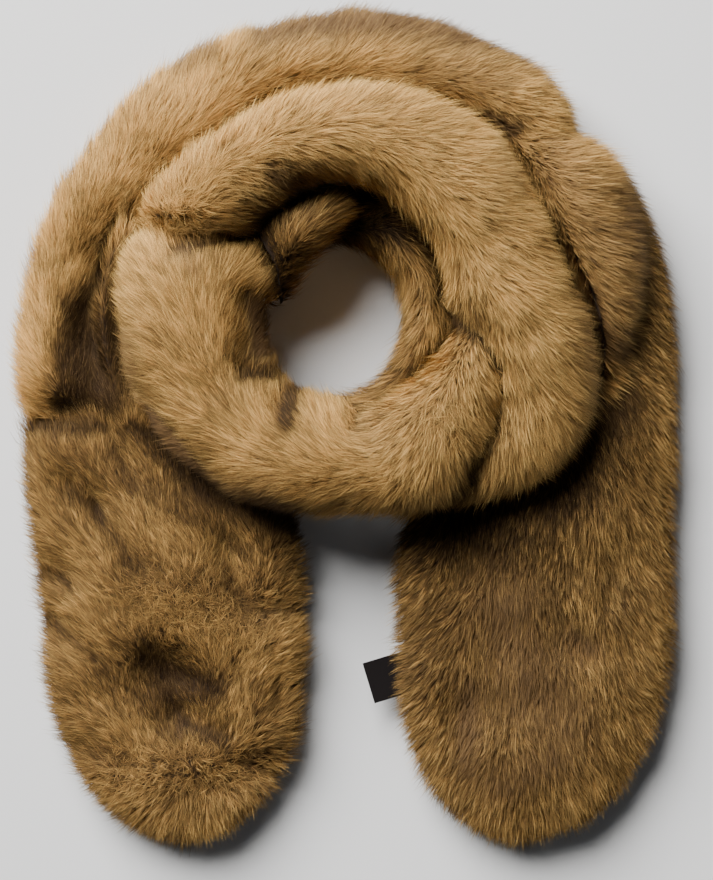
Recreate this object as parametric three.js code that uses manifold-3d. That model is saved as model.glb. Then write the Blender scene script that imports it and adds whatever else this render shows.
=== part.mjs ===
// A long faux fur scarf with two rounded ends, laid on a flat surface and wound into a collar ring.
// Millimetres, +Z up. The tails point along -Y, and the underside lies on z = 0.
// Every solid reaches as far as the tips of the pile do.

import * as THREE from 'three';
import { mergeVertices } from 'three/addons/utils/BufferGeometryUtils.js';
import Module from 'manifold-3d';

const wasm = await Module();
wasm.setup();

// Driving dimensions
const SEAM_GAP = 0.3;        // kept between pieces that touch
const TAIL_HEIGHT = 42;      // both fur panels of a tail, pile included
const TAIL_ROUNDNESS = 0.6;  // a tail's edges are fuller than the wound stretches' sides
const TAIL_SEAM = 20;        // height of the edge seam between the two panels
const TIP_LENGTH = 112;      // the rounded end of a tail, half an ellipse
const WAIST = 0.42;          // where a section is widest, as a share of its height
const ROUNDNESS = 0.86;      // below 1, a section's sides are fuller than an ellipse's
const UNDERSIDE_FLAT = 0.72; // how deep a section is before it is pressed flat below
const AROUND = 20;           // points round a section
const BETWEEN = 2;           // sections worked out from one table row to the next
const END_ROUNDING = 8;      // how far a stretch's rounded end reaches past its last row
const END_SECTIONS = 3;
const TIP_SECTIONS = 9;
const LABEL = { width: 26, length: 27, thickness: 1.4, height: 20.2, x: 7.5, y: -152, turn: 17 };

const FUR_GOLD = new THREE.Color(0.50, 0.36, 0.20);
const FUR_DARK = new THREE.Color(0.38, 0.28, 0.18);
const LABEL_BLACK = new THREE.Color(0.03, 0.025, 0.022);

// Sections of the wound stretches, one row each, from the outer edge to the edge at the neck hole.
// The base and top columns are the heights of the section's underside and crown.
const COLUMNS = ['outerX', 'outerY', 'innerX', 'innerY', 'base', 'top'];

// The front coil comes down the left, crosses the front and ends in a lobe that turns up on the right.
const FRONT_COIL = rows([
  [-145, 114, -52, 117, 36, 91],
  [-149, 96, -48, 100, 36, 93],
  [-148, 66, -49, 74, 35, 93],
  [-143, 36, -48, 58, 35, 92],
  [-128, 4, -42, 44, 34, 92],
  [-104, -22, -25, 33, 34, 93],
  [-70, -41, -11, 25, 34, 94],
  [-32, -48, 1, 22, 34, 97],
  [8, -48, 14, 28, 36, 99],
  [44, -40, 31, 39, 40, 100],
  [70, -22, 46, 51, 44, 100],
  [85, 4, 57, 59, 48, 97],
  [88, 24, 63, 62, 50, 90],
]);

// The back coil starts at the crease on the left, crosses the top, comes down the right and goes
// under the front coil.
const BACK_COIL = rows([
  [-140, 135, -51, 137, 36, 93],
  [-127, 156, -42, 146, 38, 97],
  [-98, 179, -31, 152, 42, 103],
  [-56, 207, -13, 155, 46, 108],
  [-6, 217, 4, 154, 48, 111],
  [42, 210, 24, 143, 48, 111],
  [84, 188, 41, 125, 48, 111],
  [107, 152, 49, 107, 48, 110],
  [124, 115, 53, 88, 48, 108],
  [143, 72, 53, 64, 45, 104],
  [149, 38, 50, 45, 42, 98],
  [140, 4, 42, 24, 40, 88],
  [108, -28, 28, 4, 37, 78],
  [66, -45, 12, -8, 34, 68],
  [34, -47, 2, -10, 33, 62],
]);

// The outer wrap carries the left tail up round the left and the top, to its fold at the upper right.
const OUTER_WRAP = rows([
  [-216, 17, -42, 17, 0, 52],
  [-217, 40, -50, 40, 0, 55],
  [-213, 86, -60, 80, 0, 57],
  [-200, 134, -66, 112, 0, 58],
  [-172, 183, -60, 138, 0, 58],
  [-128, 229, -45, 160, 0, 58],
  [-72, 257, -25, 170, 0, 58],
  [-8, 270, -1, 174, 0, 60],
  [50, 264, 20, 172, 0, 63],
  [98, 243, 42, 165, 0, 68],
  [124, 221, 54, 162, 0, 72],
  [135, 205, 56, 170, 0, 73],
]);

// The back wrap comes out of that fold, down the right side, on top of the right tail.
const BACK_WRAP = rows([
  [136, 195, 58, 168, 0, 68],
  [158, 180, 70, 148, 2, 74],
  [171, 158, 78, 132, 10, 78],
  [176, 122, 84, 110, 20, 80],
  [172, 84, 88, 84, 24, 80],
  [164, 48, 86, 56, 24, 79],
  [146, 14, 78, 34, 24, 74],
  [114, -18, 60, 12, 24, 62],
]);

// The lowest coil lines the neck hole under the other two, from the left to the front.
const LOW_COIL = rows([
  [-92, 92, -48, 86, 0, 35],
  [-84, 124, -41, 106, 0, 37],
  [-60, 150, -30, 117, 0, 42],
  [-26, 163, -12, 122, 0, 46],
  [12, 164, 4, 118, 0, 50],
  [46, 150, 18, 109, 0, 55],
  [70, 124, 27, 97, 0, 59],
  [82, 88, 30, 78, 0, 60],
  [80, 50, 27, 56, 0, 58],
  [62, 18, 17, 40, 0, 50],
  [34, -4, 2, 29, 0, 40],
  [4, -10, -12, 26, 0, 34],
  [-26, -2, -26, 29, 0, 32],
]);

// The middle coil shows as the lining of the hole at its upper left, over the lowest one.
const MIDDLE_COIL = rows([
  [-90, 62, -49, 66, 38, 70],
  [-86, 96, -42, 88, 38, 78],
  [-72, 126, -33, 104, 38, 84],
  [-46, 146, -22, 118, 40, 84],
  [-20, 156, -8, 132, 42, 76],
  [4, 160, 2, 142, 42, 64],
]);

// Plain stretches of the tails, from under the ring to where the rounded end starts.
const TAIL_COLUMNS = ['y', 'left', 'right'];
const LEFT_TAIL = rows([
  [8.7, -215, -42],
  [-26, -213, -33],
  [-60, -209, -29],
  [-94, -205, -27],
  [-120, -202, -27],
  [-142, -199, -28],
], TAIL_COLUMNS);
const RIGHT_TAIL = rows([
  [168, 130, 166],
  [152, 114, 181],
  [124, 104, 193],
  [90, 94, 201],
  [50, 88, 205],
  [10, 66, 205],
  [-30, 32, 204],
  [-66, 19, 203],
  [-102, 19, 203],
  [-142, 22, 200],
], TAIL_COLUMNS);

const STRETCHES = {
  front_coil: FRONT_COIL,
  back_coil: BACK_COIL,
  middle_coil: MIDDLE_COIL,
  outer_wrap: OUTER_WRAP,
  back_wrap: BACK_WRAP,
  low_coil: LOW_COIL,
};
const TAILS = {
  left_tail: { table: LEFT_TAIL, drift: 5 },
  right_tail: { table: RIGHT_TAIL, drift: -8 },
};

// Troughs pressed into the crown of each stretch, a soft line from one point to another.
const TROUGH_COLUMNS = ['fromX', 'fromY', 'toX', 'toY', 'reach', 'depth'];
const TROUGHS = {
  front_coil: rows([
    [-46, 126, -110, 120, 8, 12],
    [-34, 50, -64, 55, 7, 13],
    [4, 24, 12, 0, 6, 15],
    [-30, 24, -26, 4, 7, 6],
    [-130, 28, -94, -14, 11, 5],
  ], TROUGH_COLUMNS),
  back_coil: rows([
    [-46, 127, -110, 124, 8, 12],
    [54, 62, 66, 44, 8, 8],
  ], TROUGH_COLUMNS),
  outer_wrap: rows([
    [-224, 12, -166, 9, 8, 10],
    [-176, 100, -154, 136, 12, 9],
    [-150, 154, -92, 214, 15, 6],
  ], TROUGH_COLUMNS),
  back_wrap: rows([
    [150, 120, 168, 96, 12, 5],
  ], TROUGH_COLUMNS),
  left_tail: rows([
    [-182, -32, -146, -66, 13, 8],
    [-190, -94, -146, -118, 13, 7],
    [-141, -154, -78, -142, 15, 12],
    [-112, -180, -60, -172, 12, 8],
    [-20, -103, -74, -100, 7, 9],
    [-44, -208, -90, -204, 8, 8],
  ], TROUGH_COLUMNS),
  right_tail: rows([
    [72, -78, 128, -92, 18, 5],
    [78, -164, 150, -154, 16, 4],
  ], TROUGH_COLUMNS),
};

// Gives each row of a table its column names.
function rows(table, columns = COLUMNS) {
  return table.map((row) => Object.fromEntries(columns.map((name, i) => [name, row[i]])));
}

// Works out rows between the given ones along a smooth curve through each column.
function smoothRows(table) {
  const names = Object.keys(table[0]);
  const at = (i) => table[Math.min(Math.max(i, 0), table.length - 1)];
  const result = [];
  for (let i = 0; i < table.length - 1; i += 1) {
    for (let step = 0; step < BETWEEN; step += 1) {
      result.push(blendRow(names, [at(i - 1), at(i), at(i + 1), at(i + 2)], step / BETWEEN));
    }
  }
  result.push(table[table.length - 1]);
  return result;
}

function blendRow(names, [before, from, to, after], t) {
  const value = (name) => 0.5 * (
    2 * from[name]
    + (to[name] - before[name]) * t
    + (2 * before[name] - 5 * from[name] + 4 * to[name] - after[name]) * t ** 2
    + (3 * from[name] - before[name] - 3 * to[name] + after[name]) * t ** 3
  );
  return Object.fromEntries(names.map((name) => [name, value(name)]));
}

// How far a stretch's troughs press its surface down at a place in plan.
function pressed(x, y, troughs) {
  let total = 0;
  for (const { fromX, fromY, toX, toY, reach, depth } of troughs) {
    const along = new THREE.Vector2(toX - fromX, toY - fromY);
    const place = new THREE.Vector2(x - fromX, y - fromY);
    const t = THREE.MathUtils.clamp(place.dot(along) / along.lengthSq(), 0, 1);
    const away = place.addScaledVector(along, -t).length();
    total += depth * (1 - 0.5 * t) * Math.exp(-((away / reach) ** 2));
  }
  return total;
}

// One upright section: a rounded crown, and below it rounded sides pressed flat at the base.
// swell moves the whole section outward, for cutting a neighbour with a gap.
function sectionPoints(row, troughs, swell) {
  const outer = new THREE.Vector2(row.outerX, row.outerY);
  const inner = new THREE.Vector2(row.innerX, row.innerY);
  const middle = outer.clone().add(inner).multiplyScalar(0.5);
  const half = outer.clone().sub(inner).multiplyScalar(0.5);
  half.setLength(half.length() + swell);
  const points = [];
  for (let i = 0; i < AROUND; i += 1) {
    const angle = (2 * Math.PI * i) / AROUND;
    const across = Math.sign(Math.cos(angle)) * Math.abs(Math.cos(angle)) ** ROUNDNESS;
    const place = middle.clone().addScaledVector(half, across);
    const drop = pressed(place.x, place.y, troughs);
    points.push(new THREE.Vector3(place.x, place.y, sectionHeight(row, angle, drop, swell)));
  }
  return points;
}

function sectionHeight({ base, top }, angle, drop, swell) {
  const rise = Math.sin(angle);
  const waist = base + (top - base) * WAIST;
  const crown = top - waist;
  if (rise >= 0) {
    return waist + (crown + swell - Math.min(drop, 0.8 * crown)) * rise;
  }
  const depth = (waist - base) / UNDERSIDE_FLAT;
  return Math.max(base - swell, waist + (depth + swell) * rise);
}

// Rows past a stretch's last one, which shrink along a quarter round to close its end softly.
function roundedEnd(row, neighbour) {
  const away = new THREE.Vector2(
    row.outerX + row.innerX - neighbour.outerX - neighbour.innerX,
    row.outerY + row.innerY - neighbour.outerY - neighbour.innerY,
  );
  const acrossX = (row.outerX - row.innerX) / 2;
  const acrossY = (row.outerY - row.innerY) / 2;
  const half = Math.hypot(acrossX, acrossY);
  const facing = new THREE.Vector2(-acrossY, acrossX).divideScalar(half);
  facing.multiplyScalar(Math.sign(facing.dot(away)));
  const end = [];
  for (let i = 1; i <= END_SECTIONS; i += 1) {
    const turn = (0.46 * Math.PI * i) / END_SECTIONS;
    const shrink = END_ROUNDING * (1 - Math.cos(turn));
    const step = END_ROUNDING * Math.sin(turn);
    end.push({
      outerX: row.outerX + facing.x * step - (acrossX / half) * shrink,
      outerY: row.outerY + facing.y * step - (acrossY / half) * shrink,
      innerX: row.innerX + facing.x * step + (acrossX / half) * shrink,
      innerY: row.innerY + facing.y * step + (acrossY / half) * shrink,
      base: row.base === 0 ? 0 : row.base + shrink / 2,
      top: row.top - shrink,
    });
  }
  return end;
}

// Joins sections into one closed solid with a fan of triangles over each end.
function loft(sections) {
  const around = sections[0].length;
  const vertices = sections.flat();
  const indices = [];
  for (let s = 0; s < sections.length - 1; s += 1) {
    for (let i = 0; i < around; i += 1) {
      const a = s * around + i;
      const b = s * around + ((i + 1) % around);
      indices.push(a, b, b + around, a, b + around, a + around);
    }
  }
  const last = (sections.length - 1) * around;
  const first = vertices.push(centreOf(sections[0])) - 1;
  const final = vertices.push(centreOf(sections[sections.length - 1])) - 1;
  for (let i = 0; i < around; i += 1) {
    const next = (i + 1) % around;
    indices.push(first, next, i, final, last + i, last + next);
  }
  const geometry = new THREE.BufferGeometry().setFromPoints(vertices);
  geometry.setIndex(indices);
  return facingOut(geometry);
}

function centreOf(points) {
  const sum = new THREE.Vector3();
  points.forEach((point) => sum.add(point));
  return sum.divideScalar(points.length);
}

// Turns every triangle over when the enclosed volume comes out negative.
function facingOut(geometry) {
  const { position } = geometry.attributes;
  const index = geometry.index.array;
  const corner = (i) => new THREE.Vector3().fromBufferAttribute(position, index[i]);
  let volume = 0;
  for (let i = 0; i < index.length; i += 3) {
    volume += corner(i).dot(corner(i + 1).cross(corner(i + 2)));
  }
  if (volume < 0) {
    for (let i = 0; i < index.length; i += 3) {
      [index[i + 1], index[i + 2]] = [index[i + 2], index[i + 1]];
    }
  }
  return geometry;
}

function woundStretch(name, swell = 0) {
  const table = smoothRows(STRETCHES[name]);
  const troughs = TROUGHS[name] ?? [];
  const start = roundedEnd(table[0], table[1]).reverse();
  const finish = roundedEnd(table[table.length - 1], table[table.length - 2]);
  return loft([...start, ...table, ...finish].map((row) => sectionPoints(row, troughs, swell)));
}

// A tail's sections run across it. The rounded end follows half an ellipse and thins toward its rim.
function tailSections(table, drift) {
  const straight = smoothRows(table).map((row) => ({ ...row, top: TAIL_HEIGHT }));
  const end = straight[straight.length - 1];
  const middle = (end.left + end.right) / 2;
  const half = (end.right - end.left) / 2;
  const tip = [];
  for (let i = 1; i <= TIP_SECTIONS; i += 1) {
    const turn = (0.47 * Math.PI * i) / TIP_SECTIONS;
    const centre = middle + drift * Math.sin(turn);
    tip.push({
      y: end.y - TIP_LENGTH * Math.sin(turn),
      left: centre - half * Math.cos(turn),
      right: centre + half * Math.cos(turn),
      top: TAIL_HEIGHT * (0.5 + 0.5 * Math.cos(turn) ** 0.7),
    });
  }
  return [...straight, ...tip];
}

// The upper or the under fur panel of a tail. They meet at the height of the edge seam.
function tailPanel(name, side) {
  const { table, drift } = TAILS[name];
  return loft(tailSections(table, drift).map((row) => panelPoints(row, side, TROUGHS[name])));
}

// Half a section: an arch above the seam or a flattened one below it, closed along the seam.
function panelPoints({ y, left, right, top }, side, troughs) {
  const middle = (left + right) / 2;
  const half = (right - left) / 2;
  const seam = TAIL_SEAM * (top / TAIL_HEIGHT) + (side === 'upper' ? SEAM_GAP : 0);
  const points = [];
  for (let i = 0; i <= AROUND / 2; i += 1) {
    const angle = (2 * Math.PI * i) / AROUND;
    const across = Math.sign(Math.cos(angle)) * Math.abs(Math.cos(angle)) ** TAIL_ROUNDNESS;
    const x = middle + half * across;
    const drop = Math.min(pressed(x, y, troughs), 0.7 * (top - seam));
    const arch = (top - seam - drop) * Math.sin(angle) ** 0.8;
    const floor = Math.max(0, seam - (seam / UNDERSIDE_FLAT) * Math.sin(angle));
    points.push(new THREE.Vector3(x, y, side === 'upper' ? seam + arch : floor));
  }
  for (const share of [-0.5, 0, 0.5]) {
    points.push(new THREE.Vector3(middle + half * share, y, seam));
  }
  return points;
}

// The label is a folded tape: a flat strip with a round outer fold, its root caught in the edge seam.
function labelTab(swell = 0) {
  const { width, length, thickness } = LABEL;
  const half = thickness / 2 + swell;
  const profile = new THREE.Shape();
  profile.moveTo(length + swell, -half);
  profile.lineTo(length + swell, half);
  profile.lineTo(thickness / 2, half);
  profile.absarc(thickness / 2, 0, half, Math.PI / 2, 1.5 * Math.PI, false);
  profile.closePath();
  const geometry = new THREE.ExtrudeGeometry(profile, {
    depth: width + 2 * swell, bevelEnabled: false, curveSegments: 6,
  });
  geometry.translate(0, 0, -width / 2 - swell);
  geometry.rotateX(Math.PI / 2);
  geometry.rotateZ(THREE.MathUtils.degToRad(LABEL.turn));
  geometry.translate(LABEL.x, LABEL.y, LABEL.height);
  return geometry;
}

// Cutting
function toSolid(geometry) {
  const bare = geometry.clone();
  bare.deleteAttribute('normal');
  bare.deleteAttribute('uv');
  const merged = mergeVertices(bare, 0.0001);
  return new wasm.Manifold(new wasm.Mesh({
    numProp: 3,
    vertProperties: new Float32Array(merged.attributes.position.array),
    triVerts: new Uint32Array(merged.index.array),
  }));
}

function toGeometry(solid) {
  const { vertProperties, triVerts } = solid.getMesh();
  const geometry = new THREE.BufferGeometry();
  geometry.setAttribute('position', new THREE.BufferAttribute(vertProperties, 3));
  geometry.setIndex(new THREE.BufferAttribute(triVerts, 1));
  return geometry;
}

// Presses what lies above into a stretch: the swollen cutters leave the seam gap all round.
function pressedUnder(geometry, cutters) {
  return toGeometry(cutters.reduce((solid, cutter) => solid.subtract(toSolid(cutter)), toSolid(geometry)));
}

function addPiece(group, name, geometry, color) {
  geometry.computeVertexNormals();
  const material = new THREE.MeshStandardMaterial({ color, roughness: 0.9, metalness: 0 });
  const mesh = new THREE.Mesh(geometry, material);
  mesh.name = name;
  group.add(mesh);
}

// Assembly, from the top of the pile down
const cut = Object.fromEntries(
  Object.keys(STRETCHES).map((name) => [name, woundStretch(name, SEAM_GAP + 0.1)]),
);
const lyingOn = {
  front_coil: [],
  back_coil: [cut.front_coil],
  middle_coil: [cut.front_coil, cut.back_coil],
  outer_wrap: [cut.front_coil, cut.back_coil, cut.middle_coil],
  back_wrap: [cut.front_coil, cut.back_coil, cut.outer_wrap],
  low_coil: [cut.front_coil, cut.back_coil, cut.middle_coil, cut.outer_wrap, cut.back_wrap],
};
const shaded = ['middle_coil', 'back_wrap', 'low_coil'];

const wrap = new THREE.Group();
for (const [name, above] of Object.entries(lyingOn)) {
  addPiece(wrap, name, pressedUnder(woundStretch(name), above), shaded.includes(name) ? FUR_DARK : FUR_GOLD);
}
const overTails = [
  cut.front_coil, cut.back_coil, cut.outer_wrap, cut.back_wrap, cut.low_coil, labelTab(SEAM_GAP),
];
for (const name of Object.keys(TAILS)) {
  addPiece(wrap, `${name}_upper_panel`, pressedUnder(tailPanel(name, 'upper'), overTails), FUR_GOLD);
  addPiece(wrap, `${name}_under_panel`, pressedUnder(tailPanel(name, 'under'), overTails), FUR_DARK);
}
addPiece(wrap, 'label_tab', labelTab(), LABEL_BLACK);

// The origin is under the middle of the whole scarf.
const size = new THREE.Box3().setFromObject(wrap);
const centre = size.getCenter(new THREE.Vector3());
wrap.position.set(-centre.x, -centre.y, -size.min.z);

export default wrap;
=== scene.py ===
import math
from collections import namedtuple

import bmesh
import bpy
import numpy as np
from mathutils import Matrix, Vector, kdtree
from mathutils.bvhtree import BVHTree


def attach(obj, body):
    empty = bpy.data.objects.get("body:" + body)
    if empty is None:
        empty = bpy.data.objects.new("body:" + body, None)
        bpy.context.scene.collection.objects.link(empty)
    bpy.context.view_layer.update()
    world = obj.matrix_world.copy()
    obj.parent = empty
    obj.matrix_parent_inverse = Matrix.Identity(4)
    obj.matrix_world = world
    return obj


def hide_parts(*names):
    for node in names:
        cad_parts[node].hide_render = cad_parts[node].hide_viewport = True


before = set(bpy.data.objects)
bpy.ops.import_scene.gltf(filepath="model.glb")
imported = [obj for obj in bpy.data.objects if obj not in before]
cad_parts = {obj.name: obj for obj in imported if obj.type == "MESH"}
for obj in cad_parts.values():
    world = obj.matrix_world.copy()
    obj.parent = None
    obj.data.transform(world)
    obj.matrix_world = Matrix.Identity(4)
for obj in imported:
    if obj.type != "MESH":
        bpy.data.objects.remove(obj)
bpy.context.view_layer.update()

MM = 0.001


# The view: a pale grey table top under a broad soft light from the upper left, seen from straight above.
# The eye is 1.8 m over the point that lies in the middle of the picture.
EYE_HEIGHT = 1.8
VIEW_MIDDLE = (5.8 * MM, -8.2 * MM)
VIEW_TALL = 0.556
SENSOR = 36.0

camera_data = bpy.data.cameras.new("camera")
camera_data.sensor_width = SENSOR
camera_data.lens = SENSOR * EYE_HEIGHT / VIEW_TALL
camera = bpy.data.objects.new("camera", camera_data)
camera.location = (*VIEW_MIDDLE, EYE_HEIGHT)
bpy.context.scene.collection.objects.link(camera)
bpy.context.scene.camera = camera


def soft_light(name, place, target, size, watts, color):
    light_data = bpy.data.lights.new(name, "AREA")
    light_data.shape = "DISK"
    light_data.size = size
    light_data.energy = watts
    light_data.color = color
    light = bpy.data.objects.new(name, light_data)
    light.location = place
    light.rotation_euler = (Vector(target) - Vector(place)).to_track_quat("-Z", "Y").to_euler()
    bpy.context.scene.collection.objects.link(light)


LIT_PLACE = (0, 0, 0.03)
WINDOW_COLOR = (1.0, 0.985, 0.965)
FILL_COLOR = (0.96, 0.98, 1.0)
soft_light("window_light", place=(-1.65, 2.65, 2.55), target=LIT_PLACE, size=3.4, watts=525,
           color=WINDOW_COLOR)
soft_light("fill_light", place=(1.4, -1.2, 2.2), target=LIT_PLACE, size=2.4, watts=1.5, color=FILL_COLOR)

ROOM_COLOR = (0.92, 0.95, 1.0, 1)
ROOM_STRENGTH = 0.035
world = bpy.data.worlds.new("room")
world.use_nodes = True
world.node_tree.nodes["Background"].inputs["Color"].default_value = ROOM_COLOR
world.node_tree.nodes["Background"].inputs["Strength"].default_value = ROOM_STRENGTH
bpy.context.scene.world = world

TABLE_SIDE = 12.0
TABLE_COLOR = (0.86, 0.865, 0.87, 1)
SPECKLE_SCALE = 900
GRAIN_DEPTH = 0.2 * MM
bpy.ops.mesh.primitive_plane_add(size=TABLE_SIDE)
table_top = bpy.context.object
table_top.name = "table_top"
paint = bpy.data.materials.new("table_paint")
paint.use_nodes = True
nodes, links = paint.node_tree.nodes, paint.node_tree.links
speckle = nodes.new("ShaderNodeTexNoise")
speckle.inputs["Scale"].default_value = SPECKLE_SCALE
speckle.inputs["Detail"].default_value = 2
grain = nodes.new("ShaderNodeBump")
grain.inputs["Strength"].default_value = 0.05
grain.inputs["Distance"].default_value = GRAIN_DEPTH
shader = nodes["Principled BSDF"]
shader.inputs["Base Color"].default_value = TABLE_COLOR
shader.inputs["Roughness"].default_value = 0.75
links.new(speckle.outputs["Fac"], grain.inputs["Height"])
links.new(grain.outputs["Normal"], shader.inputs["Normal"])
table_top.data.materials.append(paint)


# The right tail, laid down first: two panels of long-pile faux fur on a knit backing, sewn round the edge,
# pile out, and laid flat. The solids reach to the tips of the pile, so the cloth lies a pile's depth in.
Trough = namedtuple("Trough", "from_x from_y to_x to_y reach depth")
Lay = namedtuple("Lay", "x y heading")
Patch = namedtuple("Patch", "from_x from_y to_x to_y reach strength")


def object_from(name, points, faces):
    mesh = bpy.data.meshes.new(name)
    mesh.from_pydata([tuple(p) for p in points], [], [tuple(f) for f in faces])
    mesh.validate()
    made = bpy.data.objects.new(name, mesh)
    bpy.context.scene.collection.objects.link(made)
    return made


def mesh_arrays(mesh):
    points = np.empty(len(mesh.vertices) * 3)
    normals = np.empty(len(mesh.vertices) * 3)
    mesh.vertices.foreach_get("co", points)
    mesh.vertices.foreach_get("normal", normals)
    return points.reshape(-1, 3), normals.reshape(-1, 3)


def mesh_edges(mesh):
    edges = np.empty(len(mesh.edges) * 2, np.int64)
    mesh.edges.foreach_get("vertices", edges)
    return edges.reshape(-1, 2)


def relaxed(values, edges, rounds, pull=0.5):
    """Each value moves toward the mean of its neighbours along the edges."""
    count = np.bincount(edges.ravel(), minlength=len(values)).astype(float)
    for _ in range(rounds):
        total = np.zeros_like(values)
        np.add.at(total, edges[:, 0], values[edges[:, 1]])
        np.add.at(total, edges[:, 1], values[edges[:, 0]])
        mean = (total.T / np.maximum(count, 1)).T
        values = values + pull * (mean - values)
    return values


def line_share(points, lines):
    """Distance in plan from each point to each line, and how far along the line the nearest place is."""
    for line in lines:
        start = np.array([line.from_x, line.from_y]) * MM
        along = np.array([line.to_x, line.to_y]) * MM - start
        offset = points[:, :2] - start
        t = np.clip(offset @ along / (along @ along), 0, 1)
        yield line, np.linalg.norm(offset - t[:, None] * along, axis=1), t


WAVES = 7


def soft_lumps(points, seed, size):
    """A smooth, uneven field between about -1 and 1 with hills of roughly the given size."""
    rng = np.random.default_rng(seed)
    field = np.zeros(len(points))
    for _ in range(WAVES):
        direction = rng.normal(size=3)
        direction /= np.linalg.norm(direction)
        wave = 2 * math.pi / (size * rng.uniform(0.7, 1.6))
        field += np.sin(points @ direction * wave + rng.uniform(0, 2 * math.pi))
    return field / math.sqrt(WAVES)


VOXEL = 4.5 * MM
SAME_PLACE = 0.001 * MM


def joined_solid(node_names):
    """The nodes' solids as one closed mesh with even faces."""
    shell = bmesh.new()
    for node_name in node_names:
        shell.from_mesh(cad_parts[node_name].data)
    bmesh.ops.remove_doubles(shell, verts=shell.verts, dist=SAME_PLACE)
    mesh = bpy.data.meshes.new("joined")
    shell.to_mesh(mesh)
    shell.free()
    scratch = bpy.data.objects.new("joined", mesh)
    bpy.context.scene.collection.objects.link(scratch)
    remesh = scratch.modifiers.new("even_faces", "REMESH")
    remesh.mode = "VOXEL"
    remesh.voxel_size = VOXEL
    evaluated = scratch.evaluated_get(bpy.context.evaluated_depsgraph_get())
    even = bpy.data.meshes.new_from_object(evaluated)
    bpy.data.objects.remove(scratch)
    return even


PILE_DEPTH = 9 * MM
PRESSED_DEPTH = 4 * MM
LEAST_DEPTH = 1 * MM
DEPTH_SHARE = 0.36
TROUGH_SHARE = 0.6
UNEVENNESS = 1.6 * MM
UNEVEN_SIZE = 50 * MM
RESTS_BELOW = 3 * MM
FACES_TABLE = -0.4
RIDGE_ALLOWED = 1.5 * MM
RIDGE_PASSES = 3
TUCKED_DEPTH = 16 * MM
TUCK_REACH = 14 * MM
TUCK_HEIGHT = 25 * MM


def thickness(points, normals, faces):
    """How thick the solid is under each point, straight in."""
    tree = BVHTree.FromPolygons([Vector(p) for p in points], faces)
    thick = np.full(len(points), 1.0)
    for i, (point, normal) in enumerate(zip(points, normals)):
        hit = tree.ray_cast(Vector(point - normal * 0.5 * MM), Vector(-normal))
        if hit[0] is not None:
            thick[i] = hit[3]
    return thick


def cloth_form(node_names, troughs, seed, pile=PILE_DEPTH):
    """Points and faces of the cloth, a pile's depth inside its nodes' solids, and each face's node."""
    even = joined_solid(node_names)
    points, normals = mesh_arrays(even)
    edges = mesh_edges(even)
    faces = [tuple(polygon.vertices) for polygon in even.polygons]
    owners = nearest_nodes([polygon.center for polygon in even.polygons], node_names)
    thick = thickness(points, normals, faces)

    on_table = (points[:, 2] < RESTS_BELOW) & (normals[:, 2] < FACES_TABLE)
    depth = np.where(on_table, PRESSED_DEPTH, pile)
    depth += UNEVENNESS * soft_lumps(points, seed, UNEVEN_SIZE) * np.clip(normals[:, 2] + 0.3, 0, 1)
    depth = np.clip(depth, LEAST_DEPTH, DEPTH_SHARE * thick)
    depth = relaxed(depth, edges, 4)
    normals = relaxed(normals, edges, 6)
    normals /= np.linalg.norm(normals, axis=1)[:, None]
    for trough, away, t in line_share(points, troughs):
        dip = trough.depth * MM * (1 - 0.5 * t) * np.exp(-((away / (trough.reach * MM)) ** 2))
        depth += dip * np.clip(normals[:, 2], 0, 1)
    depth = np.minimum(depth, TROUGH_SHARE * thick)
    points = relaxed(points - normals * depth[:, None], edges, 2)

    for _ in range(RIDGE_PASSES):
        softened = relaxed(points, edges, 14)
        ridge = np.einsum("ij,ij->i", points - softened, normals)
        points = points - normals * np.where(ridge > RIDGE_ALLOWED, ridge, 0)[:, None]

    others = tree_of_others(node_names)
    touch = np.array([others.find_nearest(Vector(p))[3] for p in points])
    above_table = np.clip(points[:, 2] / TUCK_HEIGHT - 1, 0, 1)
    points[:, 2] -= TUCKED_DEPTH * np.exp(-((touch / TUCK_REACH) ** 2)) * above_table
    points = relaxed(points, edges, 1)
    bpy.data.meshes.remove(even)
    return points, faces, owners


def nearest_nodes(places, node_names):
    """The name of the node whose solid each place lies on."""
    nearest = np.full(len(places), np.inf)
    owners = np.zeros(len(places), int)
    for number, node_name in enumerate(node_names):
        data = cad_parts[node_name].data
        faces = [tuple(polygon.vertices) for polygon in data.polygons]
        tree = BVHTree.FromPolygons([v.co for v in data.vertices], faces)
        away = np.array([tree.find_nearest(place)[3] for place in places])
        closer = away < nearest - 0.1 * MM
        owners[closer] = number
        nearest[closer] = away[closer]
    return np.array(node_names)[owners]


END_OPENING = 14 * MM


def cloth_piece(name, form, node_name, open_ends=()):
    """The part of the form that belongs to one node, as a piece of its own, open at its hidden ends."""
    points, faces, owners = form
    kept = [face for face, owner in zip(faces, owners) if owner == node_name]
    for end in open_ends:
        place = np.array(end) * MM
        kept = [f for f in kept if np.linalg.norm(points[f[0], :2] - place) > END_OPENING]
    used = sorted({corner for face in kept for corner in face})
    place = {corner: i for i, corner in enumerate(used)}
    piece = object_from(name, points[used], [[place[c] for c in face] for face in kept])
    piece.data.polygons.foreach_set("use_smooth", np.ones(len(piece.data.polygons), bool))
    piece.data.materials.append(knit_backing)
    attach(piece, "root")
    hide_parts(node_name)
    return piece


LAY_REACH = 4 * MM


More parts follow.
